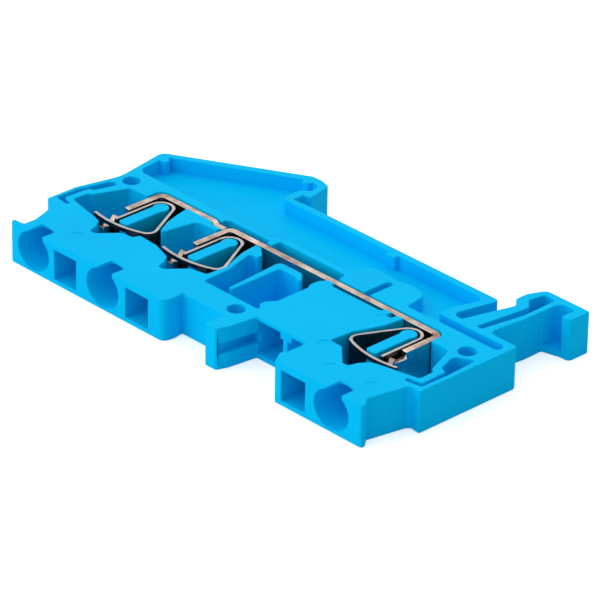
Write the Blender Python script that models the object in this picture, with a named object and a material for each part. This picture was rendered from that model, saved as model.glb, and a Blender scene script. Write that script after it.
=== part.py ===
"""Spring-clamp terminal block for a 35 mm rail, lying on its closed side with the open side up.

A moulded housing with a sprung rail foot holds two bent current bars and three cage-clamp springs.
Sizes are in millimetres. X runs along the row of wire entries, Y from the entries to the rail, Z through the
thickness. X = 0 is the middle of the body and Y = 0 is the seat that lies on the rail.
"""

import math

import bmesh
import bpy
from mathutils import Matrix, Vector

# Overall size
BODY_LENGTH = 61.3
THICKNESS = 5.2
SEAT_TO_FRONT = 28.1
FLOOR = 0.6

# Rail, hook and foot
RAIL_WIDTH = 35.0
RAIL_PLAY = 0.2
RAIL_LIP = 1.0
LIP_PLAY = 0.45
HOOK_REACH = 1.1
HOOK_RISE = 5.6
SEAT_RELIEF = 0.15
FOOT_LENGTH = 6.95
FOOT_RISE = 5.6
FOOT_REACH = 1.0
FOOT_END = 0.3
FOOT_WEB = 0.75
BEAM_LENGTH = 6.15
RELEASE_SLOT = 1.3
FLEXURE_GAP = 0.25

# Front face: flanges, wire entries, tool holes, marker gap, finger and jumper slot
LEFT_FLANGE_INSET = 1.57
RIGHT_FLANGE_INSET = 1.9
NECK_INSET = 3.1
FLANGE_THICK = 0.6
SHOULDER_DEPTH = 6.9
ENTRY_WIDTH = 5.4
ENTRY_HEIGHT = 4.84
ENTRY_TAPER = 0.8
ENTRY_LEVEL = 2.72
ENTRY_SLOT_WIDTH = 2.4
ENTRY_SLOT_LENGTH = 2.2
ENTRY_SLOT_SHIFT = 0.37
ENTRY_WALL = 0.45
TOOL_HOLE = 3.78
TOOL_HOLE_TOP = 0.86
LEFT_GROUP = 27.75
RIGHT_GROUP = 16.4
MARKER_GAP_DEPTH = 2.9
FINGER_WIDTH = 2.35
FINGER_GROOVE_LOW = 1.9
FINGER_GROOVE_HIGH = 3.25
FINGER_GROOVE_DEPTH = 0.8
JUMPER_WIDTH = 8.05
JUMPER_DEPTH = 5.3
JUMPER_CAVITY = 5.0
JUMPER_ROOF = 0.45
JUMPER_LIP = 1.2
JUMPER_RIB = 0.7
JUMPER_NIB = 0.35

# Shallow recess behind the bars
RECESS_DEPTH = 1.75
GROOVE_WIDTH = 1.33
LOCATING_HOLE = 2.15
LOCATING_DEPTH = 2.5

# Clamps: legs are given by their face on the spring's side
SEAT_TO_CLAMP = 16.56
END_TO_LEG = 8.25
CLAMP_PITCH = 11.66

# Current bars
BAR_THICK = 0.8
BAR_HEIGHT = 4.35
BAR_BEND = 0.75
BAR_RUN = 5.75
BAR_CLEARANCE = 0.12
JOGGLE = 0.5
JOGGLE_BEND = 1.0
JOGGLE_TAIL = 1.0
TONGUE_LENGTH = 3.35
TONGUE_NOTCH = 0.85
TONGUE_HEIGHT = 2.35
TONGUE_BARB = 0.3

# Clamp springs
STRIP_THICK = 0.4
STRIP_HEIGHT = 4.2
LIMB_GAP = 0.33
LIMB_LENGTH = 5.6
CROWN_RADIUS = 1.5
CROWN_LEVEL = 3.7
CROWN_ANGLE = 152.6
SLOPE_LENGTH = 5.3
NOSE_RADIUS = 1.15
NOSE_ANGLE = 96.5
LEG_RADIUS = 13.0
LEG_ANGLE = 34.2
WINDOW_RAIL = 0.55
WINDOW_START = 0.15
WINDOW_LENGTH = 4.25
SPLIT_GAP = 0.15
SPRING_CLEARANCE = 0.3
POST_WIDTH = 1.6
POST_DROP = 0.15

# Values that follow from the sizes above
MM = 0.001
OVER = 1.0
FRONT = -SEAT_TO_FRONT
LEFT = -BODY_LENGTH / 2
RIGHT = BODY_LENGTH / 2
CLAMP_LINE = -SEAT_TO_CLAMP
OUTER_LEG = RIGHT - END_TO_LEG
LEFT_GROUP_END = LEFT + LEFT_GROUP
RIGHT_GROUP_START = RIGHT - RIGHT_GROUP
FINGER_LEFT = RIGHT_GROUP_START - JUMPER_WIDTH - FINGER_WIDTH
FOOT_FACE = RIGHT - FOOT_LENGTH
HOOK_FACE = FOOT_FACE - RAIL_PLAY - RAIL_WIDTH
ROOT = -BEAM_LENGTH
BAR_BOTTOM = FLOOR + 0.1
BAR_TOP = BAR_BOTTOM + BAR_HEIGHT
STRIP_BOTTOM = FLOOR + 0.15
STRIP_TOP = STRIP_BOTTOM + STRIP_HEIGHT
LIMB_CENTRE = LIMB_GAP + STRIP_THICK / 2
CROWN_CENTRE = LIMB_CENTRE + CROWN_RADIUS
BAR_BACK = CLAMP_LINE + BAR_RUN + BAR_THICK
JUMPER_BACK = FRONT + JUMPER_DEPTH
RECESS_FRONT = BAR_BACK + 1.4
ARC_STEP = math.radians(15)
ARC_CHORD = 1.5

# Each clamp: leg face, direction from the leg to its spring, entry and tool hole offsets from the leg face
CLAMPS = (
    (-OUTER_LEG, 1, -2.78, 2.72),
    (-OUTER_LEG + CLAMP_PITCH, 1, -2.5, 3.26),
    (OUTER_LEG, -1, -1.62, 4.37),
)

BLUE = (0.0, 0.45, 0.92, 1.0)
COPPER = (0.72, 0.42, 0.30, 1.0)
STEEL = (0.74, 0.73, 0.70, 1.0)


def clear_scene():
    for thing in list(bpy.data.objects):
        bpy.data.objects.remove(thing)


def new_collection(name):
    collection = bpy.data.collections.new(name)
    bpy.context.scene.collection.children.link(collection)
    return collection


def new_material(name, colour, roughness, metallic):
    material = bpy.data.materials.new(name)
    material.use_nodes = True
    shader = material.node_tree.nodes["Principled BSDF"]
    shader.inputs["Base Color"].default_value = colour
    shader.inputs["Roughness"].default_value = roughness
    shader.inputs["Metallic"].default_value = metallic
    return material


def arc_steps(radius, sweep):
    """How many straight pieces an arc is drawn with."""
    return max(2, math.ceil(abs(sweep) / ARC_STEP), math.ceil(radius * abs(sweep) / ARC_CHORD))


def arc_points(centre, radius, start, sweep):
    """Points along an arc, its two ends included."""
    count = arc_steps(radius, sweep)
    angles = [start + sweep * i / count for i in range(count + 1)]
    return [(centre[0] + radius * math.cos(a), centre[1] + radius * math.sin(a)) for a in angles]


def rounded(corners):
    """Points of a closed outline whose corners are (x, y), or (x, y, radius) for a round one."""
    points = []
    for index, corner in enumerate(corners):
        here = Vector(corner[:2])
        if len(corner) == 2:
            points.append(tuple(here))
            continue
        back = Vector(corners[index - 1][:2]) - here
        ahead = Vector(corners[(index + 1) % len(corners)][:2]) - here
        half = back.angle(ahead) / 2
        reach = min(corner[2] / math.tan(half), 0.48 * back.length, 0.48 * ahead.length)
        radius = reach * math.tan(half)
        centre = here + (back.normalized() + ahead.normalized()).normalized() * radius / math.sin(half)
        start = here + back.normalized() * reach - centre
        turn = math.copysign(math.pi - 2 * half, ahead.x * back.y - ahead.y * back.x)
        points += arc_points(centre, radius, math.atan2(start.y, start.x), turn)
    return points


def at_clamp(clamp, corners):
    """Moves corners from a clamp's own plan, measured from its leg face, to the body's plan."""
    leg, side = clamp[:2]
    return [(leg + side * corner[0], CLAMP_LINE + corner[1], *corner[2:]) for corner in corners]


def walk(start, heading, moves):
    """A strip's centre line as (x, y, heading), from straights (length,) and arcs (radius, left turn)."""
    x, y = start
    angle = math.radians(heading)
    line = [(x, y, angle)]
    for move in moves:
        if len(move) == 1:
            x += move[0] * math.cos(angle)
            y += move[0] * math.sin(angle)
            line.append((x, y, angle))
            continue
        radius, turn = move[0], math.radians(move[1])
        side = math.copysign(1, turn)
        centre = (x - side * radius * math.sin(angle), y + side * radius * math.cos(angle))
        for point in arc_points(centre, radius, angle - side * math.pi / 2, turn)[1:]:
            angle += turn / arc_steps(radius, turn)
            line.append((*point, angle))
        x, y = line[-1][:2]
    return line


def strip_outline(line, half):
    """Both sides of a strip of twice the half thickness along a centre line."""
    left = [(x - half * math.sin(a), y + half * math.cos(a)) for x, y, a in line]
    right = [(x + half * math.sin(a), y - half * math.cos(a)) for x, y, a in line]
    return left + right[::-1]


def add_mesh(name, mesh, collection):
    made = bpy.data.objects.new(name, mesh)
    collection.objects.link(made)
    return made


def plate(name, loops, bottom, top, collection):
    """A flat piece from outlines in plan, drawn as a 2D curve. Those inside the first are holes."""
    curve = bpy.data.curves.new(name, "CURVE")
    curve.dimensions = "2D"
    curve.fill_mode = "BOTH"
    curve.extrude = (top - bottom) / 2
    for loop in loops:
        spline = curve.splines.new("POLY")
        spline.points.add(len(loop) - 1)
        for point, (x, y) in zip(spline.points, loop):
            point.co = (x, y, 0, 1)
        spline.use_cyclic_u = True
    drawn = add_mesh(name, curve, collection)
    drawn.location = (0, 0, (top + bottom) / 2)
    bpy.context.view_layer.update()
    graph = bpy.context.evaluated_depsgraph_get()
    mesh = bpy.data.meshes.new_from_object(drawn.evaluated_get(graph))
    to_metres = Matrix.Scale(MM, 4) @ drawn.matrix_world
    bpy.data.objects.remove(drawn)
    weld(mesh, to_metres)
    return add_mesh(name, mesh, collection)


def weld(mesh, matrix):
    """Joins the loose caps of a filled curve, in millimetres, and then moves the mesh."""
    work = bmesh.new()
    work.from_mesh(mesh)
    bmesh.ops.remove_doubles(work, verts=work.verts, dist=0.0005)
    bmesh.ops.recalc_face_normals(work, faces=work.faces)
    bmesh.ops.transform(work, matrix=matrix, verts=work.verts)
    work.to_mesh(mesh)
    work.free()


def box(name, low, high, collection):
    """A block between two opposite corners."""
    size = Vector(high) - Vector(low)
    middle = (Vector(high) + Vector(low)) / 2
    work = bmesh.new()
    matrix = Matrix.Scale(MM, 4) @ Matrix.Translation(middle) @ Matrix.Diagonal((*size, 1))
    bmesh.ops.create_cube(work, size=1, matrix=matrix)
    mesh = bpy.data.meshes.new(name)
    work.to_mesh(mesh)
    work.free()
    return add_mesh(name, mesh, collection)


def side_plate(name, corners, left, right, collection):
    """A piece whose outline lies in the YZ plane, between two values of X."""
    made = plate(name, [corners], left, right, collection)
    made.data.transform(Matrix(((0, 0, 1, 0), (1, 0, 0, 0), (0, 1, 0, 0), (0, 0, 0, 1))))
    return made


def cut(piece, cutter, operation="DIFFERENCE"):
    """Cuts a piece with a tool, or adds the tool's shape to it where the operation says so."""
    cutter.hide_render = True
    cutter.display_type = "WIRE"
    boolean = piece.modifiers.new(cutter.name, "BOOLEAN")
    boolean.operation = operation
    boolean.object = cutter


def finish(piece, colour, roughness, metallic, parent):
    """Gives a piece its material, smooth shading and parent, with its origin at the parent's place."""
    piece.data.materials.append(new_material(piece.name, colour, roughness, metallic))
    piece.data.shade_smooth()
    piece.data.set_sharp_from_angle(angle=math.radians(35))
    piece.parent = parent


def pivot(name, place, parent, collection):
    """An empty on a joint's axis. Pieces parented to it keep their place in the body's plan."""
    made = bpy.data.objects.new(name, None)
    made.empty_display_size = 0.003
    made.location = Vector((*place, 0)) * MM
    made.parent = parent
    collection.objects.link(made)
    return made


def hang(piece, joint):
    """Moves a piece's origin onto its joint without moving the piece."""
    piece.data.transform(Matrix.Translation(-joint.location))


def housing_outline():
    """The moulding's outline without its foot, from the front left corner round by the rail."""
    neck = LEFT + NECK_INSET
    shoulder = FRONT + SHOULDER_DEPTH
    left_end = [
        (LEFT + LEFT_FLANGE_INSET, FRONT, 0.25),
        (LEFT + LEFT_FLANGE_INSET, FRONT + FLANGE_THICK, 0.2),
        (neck, FRONT + FLANGE_THICK + 0.1, 0.3),
        (neck, FRONT + 2.4, 1.5),
        (neck - 0.9, shoulder - 1.8, 1.5),
        (LEFT, shoulder, 0.5),
        (LEFT, CLAMP_LINE - 0.4, 0.8),
        (LEFT + 1.35, CLAMP_LINE + 5.4, 4.0),
    ]
    hook_tip = HOOK_FACE + HOOK_REACH
    rail_side = [
        (LEFT, -3.5, 1.0),
        (hook_tip - 3.8, HOOK_RISE, 1.5),
        (hook_tip - 2.3, HOOK_RISE, 1.0),
        (hook_tip - 0.75, HOOK_RISE - 0.45, 0.7),
        (hook_tip, RAIL_LIP + LIP_PLAY + 0.1, 0.2),
        (HOOK_FACE, RAIL_LIP + LIP_PLAY, 0.2),
        (HOOK_FACE, -SEAT_RELIEF, 0.1),
        (hook_tip + 0.2, -SEAT_RELIEF),
        (hook_tip + 0.4, 0),
        (FOOT_FACE - 1.85, 0, 0.5),
        (FOOT_FACE - 3.1, ROOT + 0.5, 0.4),
        (FOOT_FACE - 2.6, ROOT),
        (RIGHT - 0.3, ROOT, 0.3),
        (RIGHT, ROOT - 0.5, 0.3),
    ]
    right_end = [
        (RIGHT, shoulder - 0.1, 0.3),
        (RIGHT - 1.35, shoulder + 0.15, 0.3),
        (RIGHT - 1.75, shoulder - 0.3, 0.3),
        (RIGHT - NECK_INSET + 0.35, FRONT + FLANGE_THICK + 1.0, 0.5),
        (RIGHT - RIGHT_FLANGE_INSET, FRONT + FLANGE_THICK, 0.2),
        (RIGHT - RIGHT_FLANGE_INSET, FRONT, 0.35),
    ]
    finger_right = FINGER_LEFT + FINGER_WIDTH
    gap_wall = FRONT + MARKER_GAP_DEPTH
    front = [
        (RIGHT_GROUP_START + 0.95, FRONT, 0.1),
        (RIGHT_GROUP_START, FRONT + 1.6, 0.3),
        (RIGHT_GROUP_START, FRONT + 2.0, 0.1),
        (RIGHT_GROUP_START + JUMPER_NIB, FRONT + 2.25, 0.1),
        (RIGHT_GROUP_START + JUMPER_NIB, JUMPER_BACK, 0.2),
        (finger_right + 0.45, JUMPER_BACK, 0.2),
        (finger_right, FRONT + 1.6, 0.6),
        (finger_right - 0.5, FRONT, 0.5),
        (FINGER_LEFT, FRONT, 0.25),
        (FINGER_LEFT, gap_wall, 0.2),
        (LEFT_GROUP_END - 0.1, gap_wall, 0.1),
        (LEFT_GROUP_END + 0.1, FRONT + 1.75),
        (LEFT_GROUP_END - 0.05, FRONT, 1.3),
    ]
    return rounded(left_end + rail_side + right_end + front)


def foot_outline():
    """The sprung foot with its two beams, from the root of the left beam round by the hook."""
    end = RIGHT - FOOT_END
    tip = FOOT_FACE - FOOT_REACH
    root = ROOT + FLEXURE_GAP
    outer = [
        (FOOT_FACE - 3.1 + RELEASE_SLOT, root),
        (FOOT_FACE - 0.6, -2.0, 2.0),
        (FOOT_FACE, 0, 1.0),
        (FOOT_FACE, RAIL_LIP - 0.4, 0.2),
        (tip, RAIL_LIP + LIP_PLAY + 0.2, 0.3),
        (tip, FOOT_RISE - 2.2, 1.5),
        (tip + 1.0, FOOT_RISE, 0.8),
        (end, FOOT_RISE, 0.3),
        (end, FOOT_RISE - 3.2, 0.6),
        (end - 1.35, FOOT_RISE - 3.2, 0.6),
        (FOOT_FACE + 3.0, 1.8, 0.3),
        (FOOT_FACE + 3.05, -1.0, 1.5),
        (FOOT_FACE + 2.55, root + 0.5, 0.5),
        (FOOT_FACE + 2.95, root),
    ]
    slot = [
        (FOOT_FACE + 1.3, root),
        (FOOT_FACE + 2.3, -0.5, 2.0),
        (FOOT_FACE + 2.25, FOOT_RISE - 0.95, 0.4),
        (FOOT_FACE + 0.55, FOOT_RISE - 0.95, 0.5),
        (FOOT_FACE + 0.2, 2.5, 0.5),
        (FOOT_FACE + 1.4, 1.3, 0.6),
        (FOOT_FACE + 1.35, 0.0, 2.0),
        (FOOT_FACE + 0.55, root),
    ]
    return rounded(outer + slot)


def foot_pocket_outline():
    """The pocket in the foot's end, for a screwdriver blade, above the thin web."""
    back = FOOT_RISE - 1.0
    post = RIGHT - FOOT_END - 1.35
    return rounded([
        (FOOT_FACE + 3.05, 0.5),
        (FOOT_FACE + 3.1, back, 1.0),
        (post, back, 0.3),
        (post, 0.5),
    ])


def limb_plan():
    """The fixed limb in a clamp's own plan: a straight and the first quarter of the crown."""
    half_gap = math.degrees(SPLIT_GAP / 2 / CROWN_RADIUS)
    start = (LIMB_CENTRE, CROWN_LEVEL - LIMB_LENGTH)
    return walk(start, 90, [(LIMB_LENGTH,), (CROWN_RADIUS, half_gap - 90)])


def clamp_plan():
    """The moving clamp in a clamp's own plan: the rest of the crown, slope, nose and clamping leg."""
    half_gap = SPLIT_GAP / 2 / CROWN_RADIUS
    start_x = CROWN_CENTRE + CROWN_RADIUS * math.sin(half_gap)
    start_y = CROWN_LEVEL + CROWN_RADIUS * math.cos(half_gap)
    turn = 90 - CROWN_ANGLE + math.degrees(half_gap)
    moves = [(CROWN_RADIUS, turn), (SLOPE_LENGTH,), (NOSE_RADIUS, -NOSE_ANGLE), (LEG_RADIUS, -LEG_ANGLE)]
    return walk((start_x, start_y), -math.degrees(half_gap), moves)


def nose_limit():
    """The nearest that plastic comes to a spring's nose, from the leg face."""
    return max(point[0] for point in clamp_plan()) + STRIP_THICK / 2 + SPRING_CLEARANCE


def post_outline(clamp):
    """The post inside a spring, with its round head under the crown."""
    head = CROWN_RADIUS - STRIP_THICK / 2 - SPRING_CLEARANCE
    half = POST_WIDTH / 2
    foot = CROWN_LEVEL - LIMB_LENGTH - 0.3
    opening = math.asin(half / head)
    round_head = arc_points((CROWN_CENTRE, CROWN_LEVEL), head, opening - math.pi / 2, 2 * (math.pi - opening))
    stem = [(CROWN_CENTRE - half, foot + 0.3), (CROWN_CENTRE - half + 0.3, foot)]
    stem += [(CROWN_CENTRE + half - 0.3, foot), (CROWN_CENTRE + half, foot + 0.3)]
    return at_clamp(clamp, round_head + stem)


def post_top(clamp):
    """The area inside a spring in which its post stands a little lower than the housing."""
    near = CROWN_CENTRE - CROWN_RADIUS
    far = CROWN_CENTRE + CROWN_RADIUS
    foot = CROWN_LEVEL - LIMB_LENGTH - 0.5
    head = CROWN_LEVEL + CROWN_RADIUS
    return at_clamp(clamp, [(near, foot), (far, foot), (far, head), (near, head)])


def bar_start(clamp):
    """The middle of the end of a bar's leg."""
    return at_clamp(clamp, [(-BAR_THICK / 2, -TONGUE_LENGTH)])[0]


def short_bar_line():
    """Centre line of the bar from clamp 1 to the leg of clamp 2, with the joggle at its end."""
    rise = TONGUE_LENGTH + BAR_RUN + BAR_THICK / 2 - BAR_BEND
    turn = math.acos(1 - JOGGLE / (2 * JOGGLE_BEND))
    joggle_run = 2 * JOGGLE_BEND * math.sin(turn)
    run = CLAMP_PITCH - BAR_THICK / 2 - BAR_CLEARANCE - BAR_BEND - joggle_run - JOGGLE_TAIL
    moves = [(rise,), (BAR_BEND, -90), (run,), (JOGGLE_BEND, -math.degrees(turn))]
    moves += [(JOGGLE_BEND, math.degrees(turn)), (JOGGLE_TAIL,)]
    return walk(bar_start(CLAMPS[0]), 90, moves)


def long_bar_line():
    """Centre line of the bar from clamp 2 to clamp 3."""
    rise = TONGUE_LENGTH + BAR_RUN + BAR_THICK / 2 - BAR_BEND
    run = bar_start(CLAMPS[2])[0] - bar_start(CLAMPS[1])[0] - 2 * BAR_BEND
    moves = [(rise,), (BAR_BEND, -90), (run,), (BAR_BEND, -90), (rise,)]
    return walk(bar_start(CLAMPS[1]), 90, moves)


def tongue_cutters(clamp, number, cutters):
    """Shapes that narrow the end of a bar's leg to the tongue that passes the spring's window."""
    leg, side = clamp[:2]
    middle = (STRIP_BOTTOM + STRIP_TOP) / 2
    end = CLAMP_LINE - TONGUE_LENGTH - OVER
    high = middle + TONGUE_HEIGHT / 2
    low = middle - TONGUE_HEIGHT / 2
    chamfer_end = CLAMP_LINE - 1.9
    barb = CLAMP_LINE - 1.3
    notch_end = CLAMP_LINE - 1.0
    notch_start = CLAMP_LINE + 0.65
    above = [
        (notch_start, BAR_TOP + OVER),
        (notch_start, BAR_TOP - TONGUE_NOTCH),
        (notch_end, BAR_TOP - TONGUE_NOTCH),
        (notch_end, BAR_TOP - TONGUE_BARB),
        (barb, BAR_TOP - TONGUE_BARB),
        (chamfer_end, high),
        (end, high),
        (end, BAR_TOP + OVER),
    ]
    below = [
        (barb, BAR_BOTTOM - OVER),
        (barb, BAR_BOTTOM + TONGUE_BARB),
        (chamfer_end, low),
        (end, low),
        (end, BAR_BOTTOM - OVER),
    ]
    near = leg - side * (BAR_THICK + OVER)
    far = leg + side * OVER
    left = min(near, far)
    right = max(near, far)
    return [
        side_plate(f"tongue_{number}_above", above, left, right, cutters),
        side_plate(f"tongue_{number}_below", below, left, right, cutters),
    ]


def wire_pocket(clamp):
    """The pocket that takes a wire, beside an outer clamp's leg."""
    return at_clamp(clamp, [
        (-BAR_THICK / 2, BAR_RUN + BAR_THICK / 2),
        (-BAR_THICK / 2, 4.3),
        (-3.8, 4.1, 0.5),
        (-5.4, 0.0, 0.6),
        (-6.0, -0.45, 0.3),
        (-6.1, -2.6, 0.4),
    ])


def tool_notch(clamp):
    """The notch in front of a clamp that guides the tool past the bar's tongue."""
    return at_clamp(clamp, [
        (-0.9, -TONGUE_LENGTH - 0.35, 0.4),
        (0.0, -TONGUE_LENGTH - 0.65, 0.4),
        (0.8, -5.1),
        (1.2, -6.35, 0.2),
        (2.0, -6.35, 0.3),
        (4.0, -4.0, 0.5),
    ])


def spring_wall(clamp):
    """The plastic wall on a spring's outer side, from the front to the bar."""
    nose = nose_limit()
    return at_clamp(clamp, [
        (nose - 0.25, -3.55, 0.4),
        (nose - 0.1, -0.55, 0.8),
        (nose - 0.8, 1.1),
        (nose - 1.45, 3.1, 1.0),
        (nose - 1.8, BAR_RUN + BAR_THICK / 2),
    ])


def left_chambers():
    """The joined chambers of clamps 1 and 2, with the block between them and the two posts left standing."""
    first, second = CLAMPS[:2]
    nose = nose_limit()
    outer = wire_pocket(first) + tool_notch(first)
    outer += at_clamp(first, [(5.65, -3.8, 0.3), (5.9, -2.9, 0.3)])
    outer += at_clamp(second, [(-2.7, -3.1, 0.3)]) + tool_notch(second) + spring_wall(second)
    bar_side = BAR_RUN - BAR_CLEARANCE
    block = at_clamp(first, [
        (nose - 2.0, bar_side),
        (nose - 1.65, 3.9, 1.0),
        (nose - 1.0, 1.65, 1.0),
        (nose + 0.1, -0.45, 0.25),
    ])
    block += at_clamp(second, [
        (-4.65, 0.0, 0.3),
        (-4.0, 3.9, 0.5),
        (-3.4, 4.25, 0.3),
        (-BAR_THICK - BAR_CLEARANCE, 4.4),
        (-BAR_THICK - BAR_CLEARANCE, bar_side),
    ])
    return [rounded(outer), rounded(block), post_outline(first), post_outline(second)]


def right_chamber():
    """The chamber of clamp 3, whose front is drawn out to a wedge, with its post."""
    clamp = CLAMPS[2]
    wedge = at_clamp(clamp, [(4.7, -3.87, 0.2), (nose_limit() + 0.1, -3.85, 0.2)])
    outer = wire_pocket(clamp) + tool_notch(clamp)[:-1] + wedge + spring_wall(clamp)[1:]
    return [rounded(outer), post_outline(clamp)]


def middle_chamber():
    """The pocket under the long bar, with the free wall that stands in it and hooks back at its end."""
    nose = nose_limit()
    under_bar = BAR_RUN + BAR_THICK / 2
    front = -4.85
    near_left = nose + 0.75
    flat_left = FINGER_LEFT + 1.5 - CLAMPS[1][0]
    room = flat_left - near_left
    near_side = [
        (nose - 2.0, under_bar),
        (nose - 2.0, BAR_RUN - 0.35),
        (nose - 0.9, BAR_RUN - 0.35, 0.5),
        (nose + 0.55, 4.25, 0.5),
        (nose + 0.75, 3.3, 0.25),
        (nose - 0.55, 3.4, 0.4),
        (nose + 0.2, 0.55, 1.0),
        (nose + 0.65, -1.1, 1.0),
        (near_left, front, 0.3),
    ]
    flat_side = [
        (flat_left - 0.1, front, 0.2),
        (flat_left - 0.1, -4.5, 0.2),
        (flat_left - 0.8, -3.9, 0.3),
        (flat_left - 0.8, -3.1, 0.4),
        (flat_left, -1.9, 0.4),
        (flat_left, 2.7, 0.4),
        (flat_left - 0.4, 3.4, 0.4),
        (flat_left - 0.4, 4.5, 0.6),
        (flat_left + 0.5, under_bar),
    ]
    hooked_wall = [
        (near_left + 0.34 * room, -3.95, 0.35),
        (near_left + 0.265 * room, 4.55, 0.7),
        (near_left + 0.68 * room, 4.55, 0.8),
        (near_left + 0.81 * room, 3.4, 0.3),
        (near_left + 0.79 * room, 2.95, 0.2),
        (near_left + 0.68 * room, 3.45, 0.5),
        (near_left + 0.4 * room, 3.45, 0.4),
        (near_left + 0.4 * room, -3.95, 0.35),
    ]
    return [rounded(at_clamp(CLAMPS[1], loop)) for loop in (near_side + flat_side, hooked_wall)]


def bar_gap():
    """The dark gap between the flat top and the long bar."""
    front = CLAMP_LINE + BAR_RUN - 0.75
    back = CLAMP_LINE + BAR_RUN + BAR_THICK / 2
    left = FINGER_LEFT + 2.8
    right = RIGHT_GROUP_START + 0.45
    return rounded([(left, back), (left, front, 0.3), (right, front, 0.3), (right, back)])


def back_recess():
    """The shallow recess between the bars and the rail, around its raised pad."""
    left = LEFT + 1.35
    hook_tip = HOOK_FACE + HOOK_REACH
    back = -1.0
    pad_left = FINGER_LEFT + 1.75
    pad_right = RIGHT_GROUP_START + 1.25
    behind_pocket = RECESS_FRONT + 0.9
    pocket_left = CLAMPS[1][0] + 5.4
    bulge = [
        (left + 1.0, RECESS_FRONT, 0.4),
        (left + 0.25, RECESS_FRONT + 0.8, 0.5),
        (left, -5.0),
        (left + 0.9, -4.95, 0.4),
        (left + 0.9, -4.15, 0.4),
        (left + 0.2, -3.75),
        (hook_tip - 4.1, HOOK_RISE - 1.5),
        (hook_tip - 3.6, HOOK_RISE - 2.0, 0.3),
        (hook_tip - 2.8, HOOK_RISE - 1.7, 0.3),
        (hook_tip - 2.8, HOOK_RISE - 1.15, 0.2),
        (hook_tip - 1.6, HOOK_RISE - 1.2, 0.4),
        (hook_tip - 1.3, 2.8, 0.4),
        (HOOK_FACE - 1.2, 1.9, 0.4),
        (HOOK_FACE - 1.2, back + 0.5, 0.3),
        (HOOK_FACE - 0.6, back, 0.3),
    ]
    back_wall = [
        (pad_left - 0.4, back),
        (pad_left - 0.4, back - 0.65, 0.5),
        (pad_left + 1.1, back - 0.65, 0.5),
        (pad_left + 1.1, back),
        (FOOT_FACE - 4.0, back, 0.4),
        (FOOT_FACE - 3.35, back - 0.6, 0.4),
        (FOOT_FACE - 4.3, -4.9, 1.0),
        (FOOT_FACE - 4.3, RECESS_FRONT, 0.5),
    ]
    pad = [
        (pad_right + 0.4, RECESS_FRONT, 0.3),
        (pad_right, -5.9, 0.5),
        (pad_right - 0.7, -5.1, 0.5),
        (pad_right - 2.6, -4.8, 1.0),
        (pad_right - 4.6, -5.2, 1.0),
        (pad_left + 1.8, -4.9, 0.6),
        (pad_left + 0.8, -5.7, 0.6),
        (pad_left, -7.3, 0.5),
        (pad_left + 0.3, behind_pocket, 0.2),
        (pocket_left, behind_pocket, 0.4),
        (pocket_left - 0.4, RECESS_FRONT, 0.3),
    ]
    return rounded(bulge + back_wall + pad)


def pad_slit():
    """The narrow slit in the pad, from the bar toward the rail."""
    left = RIGHT_GROUP_START - 3.9
    return rounded([
        (left, BAR_BACK - BAR_THICK / 2),
        (left, -6.6, 0.4),
        (left + 0.4, -5.85, 0.3),
        (left + 0.9, -6.4, 0.3),
        (left + 0.9, BAR_BACK - BAR_THICK / 2),
    ])


def left_end_slot():
    """The bent slot behind the left end wall."""
    return rounded([
        (LEFT + 0.55, CLAMP_LINE - 3.65, 0.2),
        (LEFT + 2.65, CLAMP_LINE - 3.95, 0.2),
        (LEFT + 2.65, CLAMP_LINE - 3.45, 0.15),
        (LEFT + 1.15, CLAMP_LINE - 3.05, 0.3),
        (LEFT + 1.35, CLAMP_LINE + 0.45, 0.3),
        (LEFT + 2.0, CLAMP_LINE + 0.75, 0.3),
        (LEFT + 2.85, CLAMP_LINE + 3.55, 0.3),
        (LEFT + 2.15, CLAMP_LINE + 3.95, 0.3),
        (LEFT + 1.6, CLAMP_LINE + 3.3),
        (LEFT + 1.0, CLAMP_LINE + 0.85),
        (LEFT + 0.55, CLAMP_LINE - 0.4, 0.3),
    ])


def right_end_slot():
    """The bent slot behind the right end wall, which widens toward the rail."""
    return rounded([
        (RIGHT - 0.75, CLAMP_LINE - 3.75, 0.2),
        (RIGHT - 3.05, CLAMP_LINE - 4.05, 0.2),
        (RIGHT - 3.05, CLAMP_LINE - 3.45, 0.15),
        (RIGHT - 1.15, CLAMP_LINE - 3.15, 0.3),
        (RIGHT - 1.25, CLAMP_LINE + 0.45, 0.3),
        (RIGHT - 2.25, CLAMP_LINE + 0.85, 0.3),
        (RIGHT - 3.05, CLAMP_LINE + 3.25, 0.3),
        (RIGHT - 2.65, CLAMP_LINE + 3.8, 0.2),
        (RIGHT - 0.9, CLAMP_LINE + 4.7, 0.2),
        (RIGHT - 0.65, CLAMP_LINE, 0.3),
    ])


def disc(centre, diameter):
    return arc_points(centre, diameter / 2, 0, 2 * math.pi)[:-1]


def entry_bore(name, clamp, cutters):
    """The oval mouth of a wire entry, which narrows toward the wire pocket."""
    middle = clamp[0] + clamp[1] * clamp[2]
    near = FRONT - 0.01
    far = CLAMP_LINE - 2.5
    work = bmesh.new()
    mouth = ENTRY_WIDTH / 2
    place = Matrix.Translation((middle, (near + far) / 2, ENTRY_LEVEL))
    squash = Matrix.Diagonal((1, 1, ENTRY_HEIGHT / ENTRY_WIDTH, 1))
    matrix = Matrix.Scale(MM, 4) @ place @ squash @ Matrix.Rotation(math.radians(-90), 4, "X")
    bmesh.ops.create_cone(
        work,
        cap_ends=True,
        segments=24,
        radius1=mouth,
        radius2=mouth - ENTRY_TAPER,
        depth=far - near,
        matrix=matrix,
    )
    bmesh.ops.recalc_face_normals(work, faces=work.faces)
    mesh = bpy.data.meshes.new(name)
    work.to_mesh(mesh)
    work.free()
    return add_mesh(name, mesh, cutters)


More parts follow.
